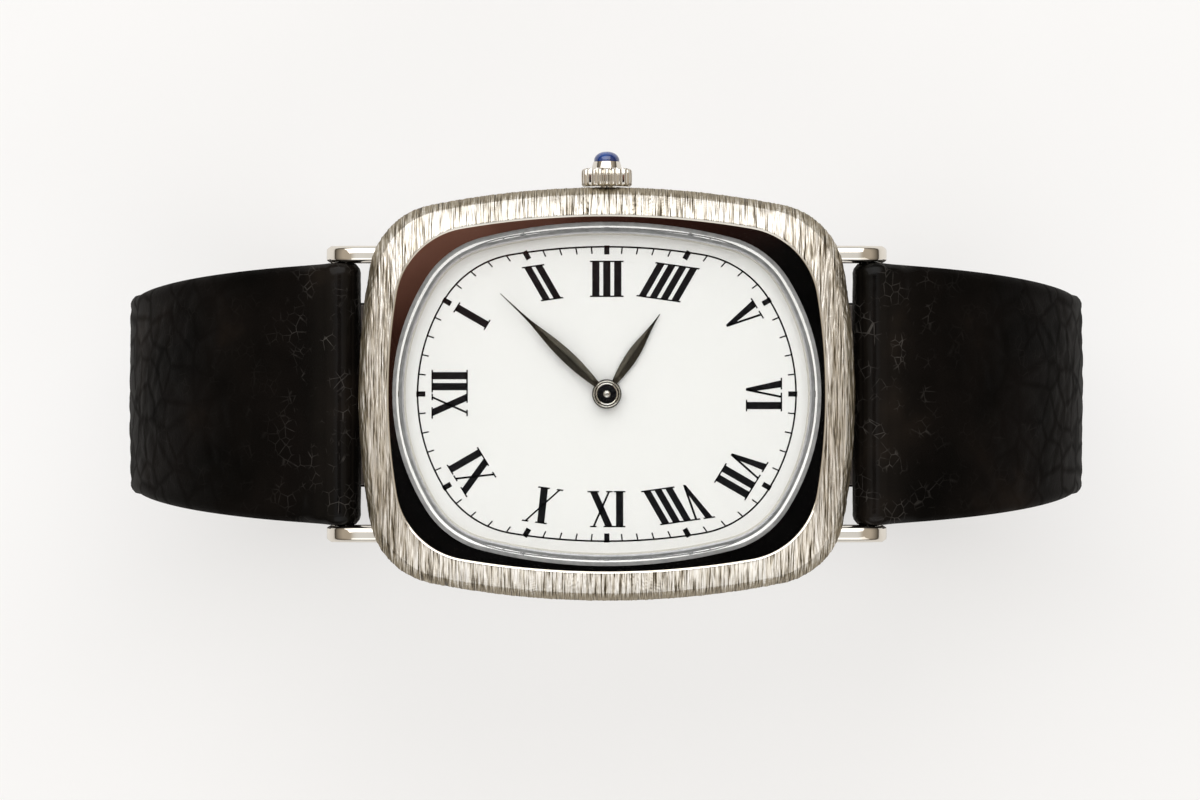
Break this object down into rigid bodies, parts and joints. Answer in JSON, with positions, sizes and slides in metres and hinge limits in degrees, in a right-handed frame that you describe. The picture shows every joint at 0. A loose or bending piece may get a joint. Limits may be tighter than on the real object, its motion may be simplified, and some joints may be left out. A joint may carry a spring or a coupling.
{
  "type": "cushion case wristwatch",
  "caption": "Cushion-shaped dress wristwatch with an engraved bezel, white dial, leaf hands, fluted crown and a buckled leather strap, with its hand-wound movement inside.",
  "frame": {"origin": "centre of the case back's outer face, on the axis of the hands", "axes": "+X towards six o'clock, +Y towards three o'clock and the crown, +Z out of the dial"},
  "size_m": [0.0676, 0.0292, 0.0475],
  "materials": {
    "engraved_metal": "engraved white gold, bark-like lines",
    "polished_metal": "mirror-polished white gold",
    "crystal_clear": "polished sapphire",
    "seal": "translucent seal",
    "dial_white": "white lacquer",
    "hand_dark": "blackened and polished",
    "plate_metal": "rhodium-plated brass",
    "wheel_brass": "gilded brass",
    "steel": "satin steel",
    "ruby": "polished ruby",
    "blue_stone": "polished blue stone",
    "leather_black": "semi-gloss black scaled leather",
    "leather_lining": "matt lining leather"
  },
  "bodies": {
    "case": {"bezel": "engraved_metal", "crystal": "crystal_clear", "crystal_gasket": "seal", "dial_flange": "polished_metal", "dial": "dial_white", "case_middle": "polished_metal", "case_back": "polished_metal", "movement_ring": "plate_metal", "case_clamps": "steel", "movement_screws": "steel", "main_plate": "plate_metal", "barrel_bridge": "plate_metal", "train_bridge": "plate_metal", "balance_cock": "plate_metal", "pallet_bridge": "plate_metal", "jewels": "ruby", "hairspring": "steel", "crown_tube": "steel", "spring_bars": "steel", "strap_tip_half": "leather_black", "strap_tip_lining": "leather_lining", "strap_buckle_half": "leather_black", "strap_buckle_lining": "leather_lining", "buckle_frame": "polished_metal", "buckle_bar": "steel", "fixed_keeper": "leather_black"},
    "winding_pinion": {"winding_pinion": "steel"},
    "stem_and_crown": {"winding_stem": "steel", "crown": "polished_metal", "crown_cabochon": "blue_stone"},
    "sliding_pinion": {"sliding_pinion": "steel"},
    "setting_lever": {"setting_lever": "steel"},
    "yoke": {"yoke": "steel"},
    "crown_wheel": {"crown_wheel": "steel"},
    "ratchet": {"ratchet_wheel": "steel", "barrel_arbor": "steel"},
    "click": {"ratchet_click": "steel"},
    "barrel": {"barrel_drum": "wheel_brass", "barrel_cover": "wheel_brass", "mainspring": "steel"},
    "centre_wheel": {"centre_wheel": "wheel_brass"},
    "third_wheel": {"third_wheel": "wheel_brass"},
    "fourth_wheel": {"fourth_wheel": "wheel_brass"},
    "escape_wheel": {"escape_wheel": "steel"},
    "pallet_fork": {"pallet_fork": "steel"},
    "balance": {"balance_wheel": "wheel_brass", "balance_staff": "steel"},
    "minute_hand": {"cannon_pinion": "steel", "minute_hand": "hand_dark"},
    "minute_wheel": {"minute_wheel": "wheel_brass"},
    "hour_hand": {"hour_wheel": "wheel_brass", "hour_hand": "hand_dark"},
    "setting_wheel": {"setting_wheel": "steel"},
    "tip_6_crown_side": {"spring_bar_tip_6_crown_side": "steel"},
    "tip_6_plain_side": {"spring_bar_tip_6_plain_side": "steel"},
    "tip_12_crown_side": {"spring_bar_tip_12_crown_side": "steel"},
    "tip_12_plain_side": {"spring_bar_tip_12_plain_side": "steel"},
    "buckle_tongue": {"buckle_tongue": "polished_metal"},
    "floating_keeper": {"floating_keeper": "leather_black"}
  },
  "joints": [
    {"name": "crown_turn", "type": "hinge", "parent": "case", "child": "winding_pinion", "pos_m": [0, 0.00732, 0.00275], "axis": [0, 1, 0], "continuous": true},
    {"name": "crown_pull", "type": "slide", "parent": "winding_pinion", "child": "stem_and_crown", "axis": [0, 1, 0], "range_m": [0, 0.0005]},
    {"name": "sliding_pinion_shift", "type": "slide", "parent": "winding_pinion", "child": "sliding_pinion", "axis": [0, -1, 0], "range_m": [0, 0.0005]},
    {"name": "setting_lever_swing", "type": "hinge", "parent": "case", "child": "setting_lever", "pos_m": [0.0019, 0.00843, 0.00345], "axis": [0, 0, 1], "range_deg": [-15.3, 0]},
    {"name": "yoke_swing", "type": "hinge", "parent": "case", "child": "yoke", "pos_m": [-0.0024, 0.00678, 0.00345], "axis": [0, 0, 1], "range_deg": [-12.2, 0]},
    {"name": "crown_wheel_turn", "type": "hinge", "parent": "case", "child": "crown_wheel", "pos_m": [0, 0.0054, 0.00162], "axis": [0, 0, 1], "continuous": true},
    {"name": "ratchet_turn", "type": "hinge", "parent": "case", "child": "ratchet", "pos_m": [-0.00335, 0.00194, 0.00162], "axis": [0, 0, 1], "continuous": true},
    {"name": "click_swing", "type": "hinge", "parent": "case", "child": "click", "pos_m": [-0.00646, 0.00014, 0.00162], "axis": [0, 0, 1], "range_deg": [-12, 0]},
    {"name": "fourth_wheel_turn", "type": "hinge", "parent": "case", "child": "fourth_wheel", "pos_m": [0.00347, -0.00239, 0.00212], "axis": [0, 0, 1], "continuous": true},
    {"name": "third_wheel_turn", "type": "hinge", "parent": "case", "child": "third_wheel", "pos_m": [0.00089, -0.00332, 0.00249], "axis": [0, 0, 1], "continuous": true},
    {"name": "centre_wheel_turn", "type": "hinge", "parent": "case", "child": "centre_wheel", "pos_m": [0, 0, 0.00188], "axis": [0, 0, 1], "continuous": true},
    {"name": "barrel_turn", "type": "hinge", "parent": "case", "child": "barrel", "pos_m": [-0.00335, 0.00194, 0.00215], "axis": [0, 0, 1], "continuous": true},
    {"name": "escape_wheel_turn", "type": "hinge", "parent": "case", "child": "escape_wheel", "pos_m": [0.00471, -0.00022, 0.00249], "axis": [0, 0, 1], "continuous": true},
    {"name": "pallet_fork_swing", "type": "hinge", "parent": "case", "child": "pallet_fork", "pos_m": [0.00516, 0.00145, 0.00245], "axis": [0, 0, 1], "range_deg": [-5, 5]},
    {"name": "balance_swing", "type": "hinge", "parent": "case", "child": "balance", "pos_m": [0.00576, 0.00367, 0.00185], "axis": [0, 0, 1], "range_deg": [-270, 270], "stiffness_Nm_per_rad": 0.000000007},
    {"name": "minute_hand_turn", "type": "hinge", "parent": "case", "child": "minute_hand", "pos_m": [0, 0, 0.0048], "axis": [0, 0, -1], "continuous": true},
    {"name": "minute_wheel_turn", "type": "hinge", "parent": "case", "child": "minute_wheel", "pos_m": [-0.00069, 0.0019, 0.00345], "axis": [0, 0, -1], "continuous": true},
    {"name": "hour_hand_turn", "type": "hinge", "parent": "case", "child": "hour_hand", "pos_m": [0, 0, 0.00445], "axis": [0, 0, -1], "continuous": true},
    {"name": "setting_wheel_turn", "type": "hinge", "parent": "case", "child": "setting_wheel", "pos_m": [0, 0.00453, 0.00345], "axis": [0, 0, -1], "continuous": true},
    {"name": "spring_bar_tip_6_crown_side_press", "type": "slide", "parent": "case", "child": "tip_6_crown_side", "axis": [0, -1, 0], "range_m": [0, 0.0008], "stiffness_N_per_m": 300, "springref_m": -0.001},
    {"name": "spring_bar_tip_6_plain_side_press", "type": "slide", "parent": "case", "child": "tip_6_plain_side", "axis": [0, 1, 0], "range_m": [0, 0.0008], "stiffness_N_per_m": 300, "springref_m": -0.001},
    {"name": "spring_bar_tip_12_crown_side_press", "type": "slide", "parent": "case", "child": "tip_12_crown_side", "axis": [0, -1, 0], "range_m": [0, 0.0008], "stiffness_N_per_m": 300, "springref_m": -0.001},
    {"name": "spring_bar_tip_12_plain_side_press", "type": "slide", "parent": "case", "child": "tip_12_plain_side", "axis": [0, 1, 0], "range_m": [0, 0.0008], "stiffness_N_per_m": 300, "springref_m": -0.001},
    {"name": "buckle_tongue_swing", "type": "hinge", "parent": "case", "child": "buckle_tongue", "pos_m": [0.001, 0, -0.03727], "axis": [0, 1, 0], "range_deg": [0, 25]},
    {"name": "floating_keeper_slide", "type": "slide", "parent": "case", "child": "floating_keeper", "axis": [1, 0, 0], "range_m": [-0.0031, 0.0024]}
  ],
  "couplings": [
    {"joint": "sliding_pinion_shift", "follows": "crown_pull", "ratio": 1},
    {"joint": "setting_lever_swing", "follows": "crown_pull", "rad_per_m": -526.32},
    {"joint": "yoke_swing", "follows": "crown_pull", "rad_per_m": -416.67},
    {"joint": "crown_wheel_turn", "follows": "crown_turn", "ratio": 0.5},
    {"joint": "ratchet_turn", "follows": "crown_turn", "ratio": -0.35714},
    {"joint": "escape_wheel_turn", "follows": "fourth_wheel_turn", "ratio": -10},
    {"joint": "third_wheel_turn", "follows": "fourth_wheel_turn", "ratio": -0.13333},
    {"joint": "centre_wheel_turn", "follows": "fourth_wheel_turn", "ratio": 0.016667},
    {"joint": "barrel_turn", "follows": "fourth_wheel_turn", "ratio": -0.0027778},
    {"joint": "minute_wheel_turn", "follows": "minute_hand_turn", "ratio": -0.33333},
    {"joint": "hour_hand_turn", "follows": "minute_hand_turn", "ratio": 0.083333},
    {"joint": "setting_wheel_turn", "follows": "minute_hand_turn", "ratio": 0.41667}
  ]
}
